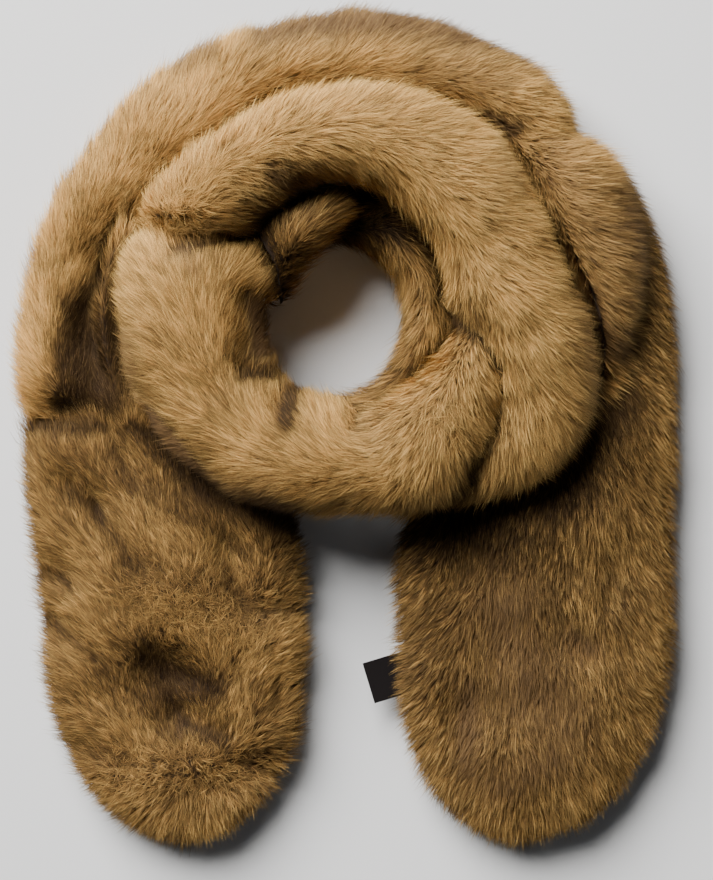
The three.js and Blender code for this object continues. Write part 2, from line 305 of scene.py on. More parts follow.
def combed(points, lays):
    """The way the pile is combed at each point, in plan, and how far the nearest combed places agree."""
    total = np.zeros((len(points), 2))
    weights = np.zeros(len(points))
    for lay in lays:
        away = np.linalg.norm(points[:, :2] - np.array([lay.x, lay.y]) * MM, axis=1)
        weight = 1 / (away + LAY_REACH) ** 3
        total[:, 0] += weight * math.cos(math.radians(lay.heading))
        total[:, 1] += weight * math.sin(math.radians(lay.heading))
        weights += weight
    agreement = np.linalg.norm(total, axis=1) / weights
    return total / np.maximum(np.linalg.norm(total, axis=1), 1e-9)[:, None], agreement


def patch_strength(points, patches):
    """How strongly the patches show at each point, from 0 to 1."""
    strength = np.zeros(len(points))
    for patch, away, _ in line_share(points, patches):
        mask = patch.strength * np.exp(-((away / (patch.reach * MM)) ** 2))
        strength = 1 - (1 - strength) * (1 - mask)
    return strength


def tree_of_others(node_names):
    """The solids of all the other stretches, for rays and distances."""
    points, faces = [], []
    for node_name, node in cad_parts.items():
        if node_name in node_names or node_name == "label_tab":
            continue
        first = len(points)
        points += [v.co.copy() for v in node.data.vertices]
        faces += [[first + c for c in polygon.vertices] for polygon in node.data.polygons]
    return BVHTree.FromPolygons(points, faces)


SEEN_FROM_ABOVE = 0.3
COVERED_WITHIN = 5 * MM
RAYS_AT_HEIGHT = ((math.radians(80), 1), (math.radians(45), 4), (math.radians(15), 6))
UP = Vector((0, 0, 1))
SKY = [Vector((math.cos(a) * math.cos(e), math.sin(a) * math.cos(e), math.sin(e)))
       for e, n in RAYS_AT_HEIGHT
       for a in (2 * math.pi * i / n for i in range(n))]


def openness(points, normals, others):
    """How much of the room each place sees: 0 where another stretch covers it."""
    seen = np.zeros(len(points))
    for i, (point, normal) in enumerate(zip(points, normals)):
        start, out = Vector(point), Vector(normal)
        if others.ray_cast(start, out, COVERED_WITHIN)[0] is not None:
            continue
        tip = start + out * PILE_DEPTH
        free = sum(1 for ray in SKY if ray.dot(out) > -0.2 and others.ray_cast(tip, ray)[0] is None)
        seen[i] = free / len(SKY)
        if out.z > -0.5 and others.ray_cast(start + out * 2 * MM, UP)[0] is None:
            seen[i] = max(seen[i], SEEN_FROM_ABOVE)
    return seen


def unit(vectors):
    """The vectors at length 1."""
    return vectors / np.maximum(np.linalg.norm(vectors, axis=1), 1e-12)[:, None]


def turned(vectors, axes, angles):
    """Vectors turned about unit axes that they are square to."""
    cos, sin = np.cos(angles)[:, None], np.sin(angles)[:, None]
    return vectors * cos + np.cross(axes, vectors) * sin


def follow_surface(flow, normals):
    """A direction in plan, carried over the surface so that it runs down where the surface turns down."""
    flat = np.column_stack([flow, np.zeros(len(flow))])
    lean = np.einsum("ij,ij->i", flat, normals) / np.maximum(1 + normals[:, 2], 0.25)
    carried = flat - lean[:, None] * (normals + np.array(UP))
    carried -= np.einsum("ij,ij->i", carried, normals)[:, None] * normals
    return unit(carried)


def scattered(rng, mesh, density, count):
    """Roots spread over the mesh by area and density, and the way out of the surface at each."""
    mesh.calc_loop_triangles()
    corners = np.empty(len(mesh.loop_triangles) * 3, np.int64)
    mesh.loop_triangles.foreach_get("vertices", corners)
    corners = corners.reshape(-1, 3)
    points, normals = mesh_arrays(mesh)
    a, b, c = (points[corners[:, i]] for i in range(3))
    area = np.linalg.norm(np.cross(b - a, c - a), axis=1) / 2
    weight = area * density[corners].mean(axis=1)
    chosen = rng.choice(len(corners), count, p=weight / weight.sum())
    u, v = rng.random(count), rng.random(count)
    fold = u + v > 1
    u[fold], v[fold] = 1 - u[fold], 1 - v[fold]
    share = np.column_stack([1 - u - v, u, v])
    roots = np.einsum("ij,ijk->ik", share, points[corners[chosen]])
    out = unit(np.einsum("ij,ijk->ik", share, normals[corners[chosen]]))
    return roots, out


GUARD_LENGTH = 19 * MM
GUARD_WIDTH = 0.28 * MM
DOWN_LENGTH = 15 * MM
DOWN_WIDTH = 0.38 * MM
HAIRS_IN_WISP = 6
LOOSE_TURN = 7
TOUSLED_WISP = 7
TOUSLED_HAIR = 4
WISP_RISE = 4
HAIR_RISE = 7
PARTING_RISE = 22
BEND_UP = math.radians(15)
BEND_DOWN = math.radians(13)
BEND_AT = 0.45
WISP_HOLDS_TIP = 0.35
WISP_HOLDS_MIDDLE = 0.75
CLEAR_OF_TABLE = 0.6 * MM
MORE_CLEAR = 1.5 * MM
PAINTED_SHADE_DEPTH = 0.97
WISP_SPREAD = 0.50
HAIR_SPREAD = 0.40
GREY_HAIRS = 0.08
TONES = 24
GREYS = 6
GUARD_ALONG = [0.0, 0.0, 0.45, 0.45, 1.0]
DOWN_ALONG = [0.05, 0.05, 0.8]


def grow_fur(name, cloth, own_nodes, guards, downs, tone, seed, lays, greys=(), painted_shade_and_light=(), tousled=(),
             lift=38.0, frizz=1.0, length=1.0):
    """The pile as one mesh: fine down, one face each, under bent guard hairs, gathered into loose wisps."""
    rng = np.random.default_rng(seed)
    mesh = cloth.data
    points, normals = mesh_arrays(mesh)
    open_here = openness(points, normals, tree_of_others(own_nodes))
    density = np.sqrt(open_here) * (0.35 + 0.65 * np.clip(normals[:, 2] * 1.5 + 0.5, 0, 1))
    density[normals[:, 2] < -0.6] *= 0.25
    count = guards + downs
    roots, out = scattered(rng, mesh, density, count)
    is_guard = np.arange(count) < guards

    wisps = max(1, count // HAIRS_IN_WISP)
    centres = rng.choice(guards, wisps, replace=False)
    finder = kdtree.KDTree(wisps)
    for i, place in enumerate(roots[centres]):
        finder.insert(place, i)
    finder.balance()
    wisp = np.array([finder.find(root)[1] for root in roots])

    # The way each hair lies, how steeply it rises and how long it is.
    lay, agreement = combed(roots, lays)
    curl = patch_strength(roots, tousled)
    swirl = np.radians(LOOSE_TURN) * frizz * soft_lumps(roots, seed + 1, 30 * MM)
    wisp_turn = np.radians(rng.normal(0, LOOSE_TURN * frizz, wisps))[wisp] * (1 + TOUSLED_WISP * curl)
    own_turn = np.radians(rng.normal(0, LOOSE_TURN * frizz, count)) * (1 + TOUSLED_HAIR * curl)
    flow = turned(follow_surface(lay, out), out, swirl + wisp_turn + own_turn)
    rise = np.radians(lift + rng.normal(0, WISP_RISE, wisps)[wisp] + rng.normal(0, HAIR_RISE, count))
    rise = rise + np.radians(6) * soft_lumps(roots, seed + 2, 30 * MM)
    rise = rise + np.radians(PARTING_RISE) * (1 - agreement) ** 2
    long = length * np.where(is_guard, GUARD_LENGTH, DOWN_LENGTH)
    long = long * rng.uniform(0.7, 1.15, count) * (1 - 0.3 * curl)
    long = long * rng.uniform(0.92, 1.08, wisps)[wisp] * (1 + 0.08 * soft_lumps(roots, seed + 3, 40 * MM))
    # Painted shade: hair whose middle or tip lies in a patch gets a darker colour and a shorter length, for
    # creases, hollows and cast shadows; patches of negative strength paint light instead and leave the
    # length.
    shown = roots + flow * (0.5 * long)[:, None]
    near_tip = roots + flow * (0.85 * long)[:, None]
    painted_shade_mask = np.maximum(patch_strength(shown, painted_shade_and_light), patch_strength(near_tip, painted_shade_and_light))
    long = long * (1 - 0.4 * np.clip(painted_shade_mask, 0, 1))

    def toward(angle):
        return flow * np.cos(angle)[:, None] + out * np.sin(angle)[:, None]

    # Each hair bends over once, and leans to the guide hair of its wisp.
    middle = roots + toward(rise + BEND_UP) * (BEND_AT * long)[:, None]
    tip = middle + toward(rise - BEND_DOWN) * ((1 - BEND_AT) * long)[:, None]
    guide = centres[wisp]
    gather = (rng.uniform(0.05, 0.4, count) * np.where(is_guard, 1.0, 0.6))[:, None]
    from_guide = roots - roots[guide]
    reach_share = (long / long[guide])[:, None]
    together = roots[guide] + (tip[guide] - roots[guide]) * reach_share + from_guide * WISP_HOLDS_TIP
    tip = tip + (together - tip) * gather
    together = roots[guide] + (middle[guide] - roots[guide]) * reach_share + from_guide * WISP_HOLDS_MIDDLE
    middle = middle + (together - middle) * gather * 0.6
    for level in (middle, tip):
        level[:, 2] = np.maximum(level[:, 2], CLEAR_OF_TABLE + MORE_CLEAR * rng.random(count))

    roll = np.clip(rng.normal(0, 0.6, count), -1.2, 1.2)
    axis = unit(tip - roots)
    side = turned(unit(np.cross(axis, out)), axis, roll)
    width = np.where(is_guard, GUARD_WIDTH, DOWN_WIDTH) * rng.uniform(0.7, 1.25, count)
    half = side * (0.5 * width)[:, None]
    facing = unit(out + 0.5 * np.cross(side, axis) + np.array([0, 0, 0.4]))

    # Its place between dark and bright, with painted shade and painted light from the patches, and whether
    # its tip is grey.
    spread = WISP_SPREAD * rng.normal(size=wisps)[wisp] + HAIR_SPREAD * rng.normal(size=count)
    spread = spread + 0.15 * soft_lumps(roots, seed + 4, 35 * MM)
    spread = spread + 0.12 * soft_lumps(roots, seed + 5, 12 * MM)
    tone = np.clip(tone * np.exp(spread) * (1 - PAINTED_SHADE_DEPTH * painted_shade_mask), 0, 1)
    tone = (np.minimum(np.floor(tone * TONES), TONES - 1) + 0.5) / TONES
    grey = patch_strength(shown, greys) * (0.6 + 0.7 * rng.random(count))
    grey = grey + 0.7 * (rng.random(count) < GREY_HAIRS)
    grey = np.round(np.clip(grey, 0, 1) * (GREYS - 1)) / (GREYS - 1)
    return fur_piece(name, guards, roots, middle, tip, half, facing, tone, grey)


def fur_piece(name, guards, roots, middle, tip, half, facing, tone, grey):
    """The hairs as one piece: a guard hair has five corners and two faces, a down hair is one triangle."""
    count = len(roots)
    downs = count - guards
    hair = slice(0, guards)
    bent = np.stack([(roots - half)[hair], (roots + half)[hair], (middle - half * 0.85)[hair],
                     (middle + half * 0.85)[hair], tip[hair]], 1)
    rest = slice(guards, count)
    straight = np.stack([(roots - half)[rest], (roots + half)[rest], tip[rest]], 1)
    corner_points = np.concatenate([bent.reshape(-1, 3), straight.reshape(-1, 3)])
    owner = np.concatenate([np.repeat(np.arange(guards), 5), np.repeat(np.arange(guards, count), 3)])
    along = np.concatenate([np.tile(GUARD_ALONG, guards), np.tile(DOWN_ALONG, downs)])
    bent_loops = np.arange(guards)[:, None] * 5 + np.array([0, 1, 3, 2, 2, 3, 4])
    straight_loops = guards * 5 + np.arange(downs)[:, None] * 3 + np.array([0, 1, 2])
    loops = np.concatenate([bent_loops.ravel(), straight_loops.ravel()])
    bent_starts = np.arange(guards)[:, None] * 7 + np.array([0, 4])
    starts = np.concatenate([bent_starts.ravel(), guards * 7 + np.arange(downs) * 3])

    fur_mesh = bpy.data.meshes.new(name)
    fur_mesh.vertices.add(len(corner_points))
    fur_mesh.vertices.foreach_set("co", corner_points.astype(np.float32).ravel())
    fur_mesh.loops.add(len(loops))
    fur_mesh.loops.foreach_set("vertex_index", loops.astype(np.int32))
    fur_mesh.polygons.add(len(starts))
    fur_mesh.polygons.foreach_set("loop_start", starts.astype(np.int32))
    fur_mesh.update(calc_edges=True)
    fur_mesh.polygons.foreach_set("use_smooth", np.ones(len(starts), bool))
    for attribute, values in (("tone", tone[owner]), ("grey", grey[owner]), ("along", along)):
        layer = fur_mesh.attributes.new(attribute, "FLOAT", "POINT")
        layer.data.foreach_set("value", values.astype(np.float32))
    # On the bake map, each pair of tone and grey has its own strip, and a hair runs up in its strip.
    strip = (grey * (GREYS - 1) * TONES + tone * TONES) / (TONES * GREYS)
    bake_map = fur_mesh.uv_layers.new(name="OFBake")
    places = np.column_stack([strip[owner[loops]], along[loops] * 0.94 + 0.03])
    bake_map.data.foreach_set("uv", places.astype(np.float32).ravel())
    fur_mesh.normals_split_custom_set_from_vertices(facing[owner].tolist())
    fur = bpy.data.objects.new(name, fur_mesh)
    bpy.context.scene.collection.objects.link(fur)
    fur.data.materials.append(fur_fibre)
    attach(fur, "root")
    return fur


DEEP_STOPS = [(0.0, (0.007, 0.003, 0.001)), (0.45, (0.017, 0.008, 0.003)), (1.0, (0.034, 0.016, 0.005))]
BRIGHT_STOPS = [(0.0, (0.13, 0.075, 0.032)), (0.45, (0.72, 0.39, 0.115)), (1.0, (1.0, 0.68, 0.235))]
GREY_STOPS = [(0.0, (0.08, 0.038, 0.013)), (0.5, (0.21, 0.120, 0.050)), (1.0, (0.050, 0.034, 0.024))]


def fibre_colors():
    """Colours along a strand, from root to tip: dark to bright by its tone, or grey."""
    group = bpy.data.node_groups.new("fibre_colors", "ShaderNodeTree")
    group.interface.new_socket("Color", in_out="OUTPUT", socket_type="NodeSocketColor")
    nodes, links = group.nodes, group.links
    output = nodes.new("NodeGroupOutput")

    def attribute(name):
        node = nodes.new("ShaderNodeAttribute")
        node.attribute_name = name
        return node.outputs["Fac"]

    def ramp(value, stops):
        node = nodes.new("ShaderNodeValToRGB")
        elements = node.color_ramp.elements
        while len(elements) < len(stops):
            elements.new(0.5)
        for element, (position, color) in zip(elements, stops):
            element.position = position
            element.color = (*color, 1)
        links.new(value, node.inputs["Fac"])
        return node.outputs["Color"]

    def mixed(factor, one, two):
        node = nodes.new("ShaderNodeMix")
        node.data_type = "RGBA"
        links.new(factor, node.inputs["Factor"])
        links.new(one, node.inputs["A"])
        links.new(two, node.inputs["B"])
        return node.outputs["Result"]

    along = attribute("along")
    deep = ramp(along, DEEP_STOPS)
    bright = ramp(along, BRIGHT_STOPS)
    grey = ramp(along, GREY_STOPS)
    by_tone = mixed(attribute("tone"), deep, bright)
    links.new(mixed(attribute("grey"), by_tone, grey), output.inputs["Color"])
    return group


fur_fibre = bpy.data.materials.new("fur_fibre")
fur_fibre.use_nodes = True
nodes, links = fur_fibre.node_tree.nodes, fur_fibre.node_tree.links
colors = nodes.new("ShaderNodeGroup")
colors.node_tree = fibre_colors()
shader = nodes["Principled BSDF"]
shader.inputs["Roughness"].default_value = 0.65
shader.inputs["Specular IOR Level"].default_value = 0.12
links.new(colors.outputs["Color"], shader.inputs["Base Color"])

KNIT_DARK = (0.018, 0.009, 0.004, 1)
KNIT_BROWN = (0.045, 0.023, 0.010, 1)
STITCH_SCALE = 320
knit_backing = bpy.data.materials.new("knit_backing")
knit_backing.use_nodes = True
nodes, links = knit_backing.node_tree.nodes, knit_backing.node_tree.links
stitches = nodes.new("ShaderNodeTexNoise")
stitches.inputs["Scale"].default_value = STITCH_SCALE
stitches.inputs["Detail"].default_value = 3
shades = nodes.new("ShaderNodeValToRGB")
shades.color_ramp.elements[0].color = KNIT_DARK
shades.color_ramp.elements[1].color = KNIT_BROWN
shader = nodes["Principled BSDF"]
shader.inputs["Roughness"].default_value = 0.95
links.new(stitches.outputs["Fac"], shades.inputs["Fac"])
links.new(shades.outputs["Color"], shader.inputs["Base Color"])

OUTER_NODES = (
    "left_tail_upper_panel", "left_tail_under_panel", "outer_wrap",
    "back_wrap", "right_tail_upper_panel", "right_tail_under_panel",
)
OUTER_TROUGHS = [
    Trough(-202, 3, -149, 3, 7, 10), Trough(-173, -38, -155, -50, 8, 10),
    Trough(-155, -50, -129, -90, 7, 9), Trough(-189, -90, -174, -96, 8, 9),
    Trough(-187, -119, -151, -147, 8, 10), Trough(-118, -149, -108, -171, 16, 9),
    Trough(-106, -156, -75, -162, 9, 9), Trough(-105, -180, -76, -192, 7, 11),
    Trough(-77, -80, -60, -114, 7, 9), Trough(-64, -207, -43, -218, 5, 8),
    Trough(-147, -7, -134, -35, 8, 7), Trough(-52, -114, -25, -114, 5, 8),
    Trough(-177, -198, -134, -208, 7, 6), Trough(-43, -154, -43, -176, 4, 5),
    Trough(-80, -59, -64, -76, 6, 6), Trough(-145, 131, -157, 97, 8, 16),
    Trough(-160, 93, -168, 60, 14, 24), Trough(-165, 66, -157, 21, 14, 26),
    Trough(-155, 60, -141, 24, 5, 12), Trough(-187, 104, -145, 125, 6, 6),
    Trough(-82, 186, -44, 214, 4, 6), Trough(68, 196, 107, 182, 6, 10), Trough(107, 182, 144, 184, 4, 5),
    Trough(131, -131, 156, -141, 14, 5), Trough(70, -172, 75, -212, 10, 5),
    Trough(94, -131, 107, -168, 16, 4), Trough(162, -107, 167, -70, 8, 4),
]
outer_form = cloth_form(OUTER_NODES, OUTER_TROUGHS, seed=11)

RIGHT_TAIL_LAYS = [
    Lay(196, 84, -55), Lay(198, 41, -48), Lay(193, -14, -60), Lay(191, -68, -68), Lay(204, -94, -55),
    Lay(201, -132, -50), Lay(169, -14, -80), Lay(156, -58, -92), Lay(132, -82, -95), Lay(113, -107, -92),
    Lay(76, -70, -98), Lay(33, -82, -128), Lay(33, -107, -152), Lay(33, -138, -155), Lay(35, -169, -148),
    Lay(42, -194, -135), Lay(57, -107, -125), Lay(57, -157, -125), Lay(57, -206, -115),
    Lay(82, -157, -95), Lay(113, -169, -90), Lay(113, -218, -90), Lay(150, -119, -88),
    Lay(156, -169, -82), Lay(181, -107, -68), Lay(184, -169, -58), Lay(181, -206, -50),
    Lay(156, -225, -68), Lay(80, -240, -110), Lay(113, -254, -92), Lay(141, -243, -72),
]
RIGHT_TAIL_GREYS = [
    Patch(95, -119, 119, -169, 26, 0.75), Patch(75, -163, 74, -209, 11, 0.8),
    Patch(138, -132, 153, -138, 7, 0.7), Patch(95, -225, 125, -209, 10, 0.7),
    Patch(169, 78, 162, 4, 14, 0.3), Patch(141, -181, 132, -206, 14, 0.4),
]
# Painted shade: the ring's shadow across the top of the tail and its creases are painted darker into the
# hair; the patch of negative strength paints light along the right edge.
RIGHT_TAIL_PAINTED_SHADE_AND_LIGHT = [
    Patch(36, -53, 76, -60, 14, 0.55), Patch(76, -60, 132, -42, 18, 0.6),
    Patch(132, -42, 167, 4, 16, 0.6), Patch(42, -75, 107, -81, 14, 0.55),
    Patch(180, 103, 170, 16, 9, 0.7), Patch(156, -132, 162, -82, 6, 0.25),
    Patch(198, 78, 196, -33, 7, -0.7), Patch(57, -107, 51, -163, 14, 0.25),
    Patch(119, -82, 132, -132, 14, 0.3), Patch(74, -172, 75, -183, 4, 0.5),
    Patch(143, -134, 150, -139, 4, 0.5),
]
TAIL_LENGTH = 0.78
PRESSED_LIFT = 22
right_upper = cloth_piece("right_tail_upper_cloth", outer_form, "right_tail_upper_panel")
right_under = cloth_piece("right_tail_under_cloth", outer_form, "right_tail_under_panel")
# The tails' low tone is partly the fur's own browner colour and partly painted shade: the same fur as the
# ring, set darker where less light reaches it.
right_fur = grow_fur("right_tail_upper_fur", right_upper, OUTER_NODES, guards=20000, downs=72000, tone=0.26,
                     seed=12, lays=RIGHT_TAIL_LAYS, greys=RIGHT_TAIL_GREYS, painted_shade_and_light=RIGHT_TAIL_PAINTED_SHADE_AND_LIGHT,
                     length=TAIL_LENGTH)
right_under_fur = grow_fur("right_tail_under_fur", right_under, OUTER_NODES, guards=3000, downs=9000,
                           tone=0.28, seed=13, lays=RIGHT_TAIL_LAYS, lift=PRESSED_LIFT)


# The left tail: the same two fur panels, sewn round the edge and laid with more ripples. Its pile runs up,
# toward the ring, and it is brushed the other way over the rounded end.
LEFT_TAIL_LAYS = [
    Lay(-177, -2, 95), Lay(-140, -8, 98), Lay(-103, -45, 100), Lay(-190, -27, 118), Lay(-153, -45, 105),
    Lay(-196, -58, 140), Lay(-177, -82, 135), Lay(-140, -82, 112), Lay(-91, -70, 108),
    Lay(-60, -70, 105), Lay(-32, -81, 40), Lay(-29, -101, 15), Lay(-48, -101, 70), Lay(-190, -113, 150),
    Lay(-153, -119, 125), Lay(-177, -157, 150), Lay(-146, -163, 118), Lay(-177, -194, 162),
    Lay(-103, -132, 95), Lay(-72, -144, 75), Lay(-35, -132, 30), Lay(-38, -169, 45), Lay(-66, -175, 62),
    Lay(-116, -181, 102), Lay(-165, -206, 150), Lay(-146, -201, 130), Lay(-125, -201, 112),
    Lay(-103, -201, 100), Lay(-82, -200, 82), Lay(-63, -199, 58), Lay(-48, -197, 40),
    Lay(-153, -221, 195), Lay(-134, -228, 212), Lay(-116, -229, 232), Lay(-97, -231, 255),
    Lay(-79, -229, 282), Lay(-63, -223, 308), Lay(-50, -215, 340), Lay(-116, -252, 240),
    Lay(-97, -259, 266), Lay(-80, -246, 298),
]
LEFT_TAIL_GREYS = [
    Patch(-91, -42, -41, -58, 10, 0.35), Patch(-177, -8, -134, -27, 12, 0.2),
]
# Painted shade: the hollows and creases of the left tail are painted darker into the hair; the patches of
# negative strength paint light on ridges and toward the rounded end.
LEFT_TAIL_PAINTED_SHADE_AND_LIGHT = [
    Patch(-134, 10, -91, -33, 9, 0.85), Patch(-91, -33, -29, -58, 9, 0.85),
    Patch(-201, 3, -150, 3, 4, 0.85), Patch(-172, -39, -158, -50, 7, 0.75),
    Patch(-158, -50, -130, -89, 5, 0.65), Patch(-189, -90, -176, -95, 6, 0.75),
    Patch(-188, -119, -153, -147, 6, 0.65), Patch(-125, -144, -108, -169, 13, 0.85),
    Patch(-113, -149, -77, -158, 9, 0.95), Patch(-135, -165, -113, -183, 10, 0.5),
    Patch(-105, -181, -77, -192, 5, 0.85), Patch(-146, -8, -134, -36, 5, 0.6),
    Patch(-126, -31, -101, -52, 8, 0.55), Patch(-80, -60, -64, -76, 4, 0.55),
    Patch(-77, -92, -60, -113, 5, 0.6), Patch(-53, -115, -27, -114, 2.5, 0.7),
    Patch(-177, -197, -137, -207, 4, 0.4), Patch(-43, -155, -43, -176, 3, 0.5),
    Patch(-64, -208, -43, -218, 3, 0.75), Patch(-38, -119, -38, -150, 7, -0.5),
    Patch(-71, -160, -60, -197, 8, -0.5), Patch(-195, -45, -192, -82, 6, -0.4),
    Patch(-113, -250, -82, -253, 10, -0.45), Patch(-131, -213, -71, -213, 6, -0.5),
    Patch(-140, -82, -122, -85, 8, 0.3),
]
LEFT_TAIL_TOUSLED = [
    Patch(-122, -106, -63, -118, 16, 0.8), Patch(-140, -213, -66, -213, 11, 1),
]
left_upper = cloth_piece("left_tail_upper_cloth", outer_form, "left_tail_upper_panel")
left_under = cloth_piece("left_tail_under_cloth", outer_form, "left_tail_under_panel")
# Like the right tail, this low tone is partly the fur's own browner colour and partly painted shade.
left_fur = grow_fur("left_tail_upper_fur", left_upper, OUTER_NODES, guards=20000, downs=72000, tone=0.29,
                    seed=22, lays=LEFT_TAIL_LAYS, greys=LEFT_TAIL_GREYS, painted_shade_and_light=LEFT_TAIL_PAINTED_SHADE_AND_LIGHT,
                    tousled=LEFT_TAIL_TOUSLED, frizz=1.2, length=TAIL_LENGTH)
left_under_fur = grow_fur("left_tail_under_fur", left_under, OUTER_NODES, guards=3000, downs=8000,
                          tone=0.31, seed=23, lays=LEFT_TAIL_LAYS, lift=PRESSED_LIFT)


# The outer wrap and the back wrap: both fur panels, pile out, led on from the left tail to the right one.
# They are rolled round loosely and lie on the table by their own weight, outside the ring.
OUTER_LAYS = [
    Lay(-200, 78, 100), Lay(-200, 41, 118), Lay(-198, 16, 130), Lay(-182, 53, 92), Lay(-170, 16, 95),
    Lay(-151, 47, 95), Lay(-182, 102, 80), Lay(-157, 127, 70), Lay(-176, 139, 72), Lay(-151, 169, 68),
    Lay(-121, 206, 64), Lay(-133, 151, 55), Lay(-102, 188, 50), Lay(-90, 231, 60), Lay(-59, 237, 52),
    Lay(-66, 206, 42), Lay(-29, 225, 42), Lay(-4, 249, 45), Lay(20, 228, 25), Lay(51, 246, 28),
    Lay(57, 218, 15), Lay(94, 225, 5), Lay(94, 200, 348), Lay(124, 200, 350), Lay(137, 188, 345),
]
OUTER_GREYS = [
    Patch(-52, 239, -10, 247, 9, 0.9), Patch(-10, 247, 32, 248, 10, 1), Patch(32, 248, 75, 239, 10, 1),
    Patch(75, 239, 123, 219, 8, 0.8), Patch(-102, 220, -81, 232, 6, 0.6),
    Patch(75, 193, 106, 184, 8, 0.7), Patch(45, 223, 94, 209, 9, 0.35),
]
# Painted shade: the deep hollow at the left, the creases and the edge under the ring are painted darker
# into the hair; the patches of negative strength paint light on the outer rim and across the top.
OUTER_PAINTED_SHADE_AND_LIGHT = [
    Patch(-143, 131, -154, 101, 6, 0.95), Patch(-154, 101, -168, 78, 8, 0.8),
    Patch(-166, 78, -164, 50, 12, 0.85), Patch(-162, 50, -157, 22, 15, 1),
    Patch(-179, 19, -144, 13, 8, 0.6), Patch(-148, 96, -144, 32, 8, 0.75),
    Patch(-177, 47, -176, 19, 7, 0.5), Patch(-202, 90, -200, 19, 9, -0.6),
    Patch(-188, 120, -176, 139, 8, -0.3), Patch(-47, 241, 32, 250, 7, 0.35),
    Patch(32, 250, 121, 221, 7, 0.4), Patch(75, 194, 109, 183, 6, 0.85), Patch(26, 210, 75, 194, 4, 0.5),
    Patch(-81, 185, -43, 212, 2.5, 0.7), Patch(-186, 103, -151, 123, 3, 0.5),
    Patch(-178, 64, -177, 21, 8, 0.75), Patch(-168, 74, -165, 20, 14, 1),
    Patch(-154, 56, -149, 24, 12, 0.95), Patch(-151, 85, -151, 59, 7, 0.65),
    Patch(-139, 134, -127, 151, 4, 0.5), Patch(-164, 151, -157, 139, 8, 0.25),
    Patch(-115, 194, -10, 220, 15, -0.3),
]
outer_cloth = cloth_piece("outer_wrap_cloth", outer_form, "outer_wrap")
outer_fur = grow_fur("outer_wrap_fur", outer_cloth, OUTER_NODES, guards=26000, downs=100000, tone=0.77,
                     seed=31, lays=OUTER_LAYS, greys=OUTER_GREYS, painted_shade_and_light=OUTER_PAINTED_SHADE_AND_LIGHT)

BACK_WRAP_LAYS = [
    Lay(129, 167, -14), Lay(153, 149, -10), Lay(120, 143, -30), Lay(165, 125, -12), Lay(147, 113, -20),
    Lay(178, 101, -10), Lay(171, 64, -12), Lay(153, 70, -30), Lay(165, 34, -25), Lay(153, 4, -50),
]
BACK_WRAP_GREYS = [
    Patch(129, 161, 153, 113, 16, 0.45), Patch(168, 143, 178, 83, 12, 0.8),
    Patch(153, 83, 168, 46, 10, 0.7),
]
# Painted shade: the crease where the wrap runs under the ring's edge is painted darker into the hair; the
# patch of negative strength paints light.
BACK_WRAP_PAINTED_SHADE_AND_LIGHT = [
    Patch(98, 176, 120, 128, 6, 0.9), Patch(120, 128, 135, 98, 6, 0.8), Patch(135, 98, 153, 58, 7, 0.9),
    Patch(153, 58, 156, 16, 8, 0.9), Patch(105, 178, 147, 180, 4, 0.6),
    Patch(132, 152, 147, 137, 12, -0.2),
]
back_cloth = cloth_piece("back_wrap_cloth", outer_form, "back_wrap")
back_fur = grow_fur("back_wrap_fur", back_cloth, OUTER_NODES, guards=8000, downs=27000, tone=0.66, seed=41,
                    lays=BACK_WRAP_LAYS, greys=BACK_WRAP_GREYS, painted_shade_and_light=BACK_WRAP_PAINTED_SHADE_AND_LIGHT, frizz=0.8)


# The inner coils: the same fur, wound small. The lowest turn lines the neck hole, and the one above shows
# at its upper left. Both are tubes, open where they run on under the ring.
INNER_PILE = 5 * MM
LOW_COIL_LAYS = [
    Lay(-29, 78, 75), Lay(-23, 99, 60), Lay(-4, 111, 20), Lay(14, 114, -20), Lay(32, 108, -60),
    Lay(42, 87, -92), Lay(44, 65, -105), Lay(37, 47, -122), Lay(26, 25, -140), Lay(11, 13, -160),
    Lay(-10, 10, 180),
]
# Painted shade: the creases where the coil runs under the ring are painted darker into the hair.
LOW_COIL_PAINTED_SHADE = [
    Patch(-18, 111, -1, 123, 9, 0.9), Patch(-1, 123, 29, 117, 8, 0.8), Patch(29, 119, 52, 108, 5, 0.9),
    Patch(52, 108, 57, 78, 4, 0.9), Patch(57, 78, 67, 59, 5, 0.9), Patch(67, 59, 15, 9, 2.5, 0.9),
    Patch(-38, 84, -29, 50, 8, 0.7), Patch(15, 9, 2, -3, 4, 0.9),
]
LOW_COIL_ENDS = [(-64, 81), (-20, 5)]
low_form = cloth_form(["low_coil"], troughs=[], seed=51, pile=INNER_PILE)
low_cloth = cloth_piece("low_coil_cloth", low_form, "low_coil", LOW_COIL_ENDS)
low_fur = grow_fur("low_coil_fur", low_cloth, ["low_coil"], guards=5000, downs=18000, tone=0.42, seed=52,
                   lays=LOW_COIL_LAYS, painted_shade_and_light=LOW_COIL_PAINTED_SHADE)

MIDDLE_COIL_LAYS = [
    Lay(-39, 83, 85), Lay(-34, 107, 78), Lay(-28, 125, 60), Lay(-10, 134, 25), Lay(8, 135, 8),
]
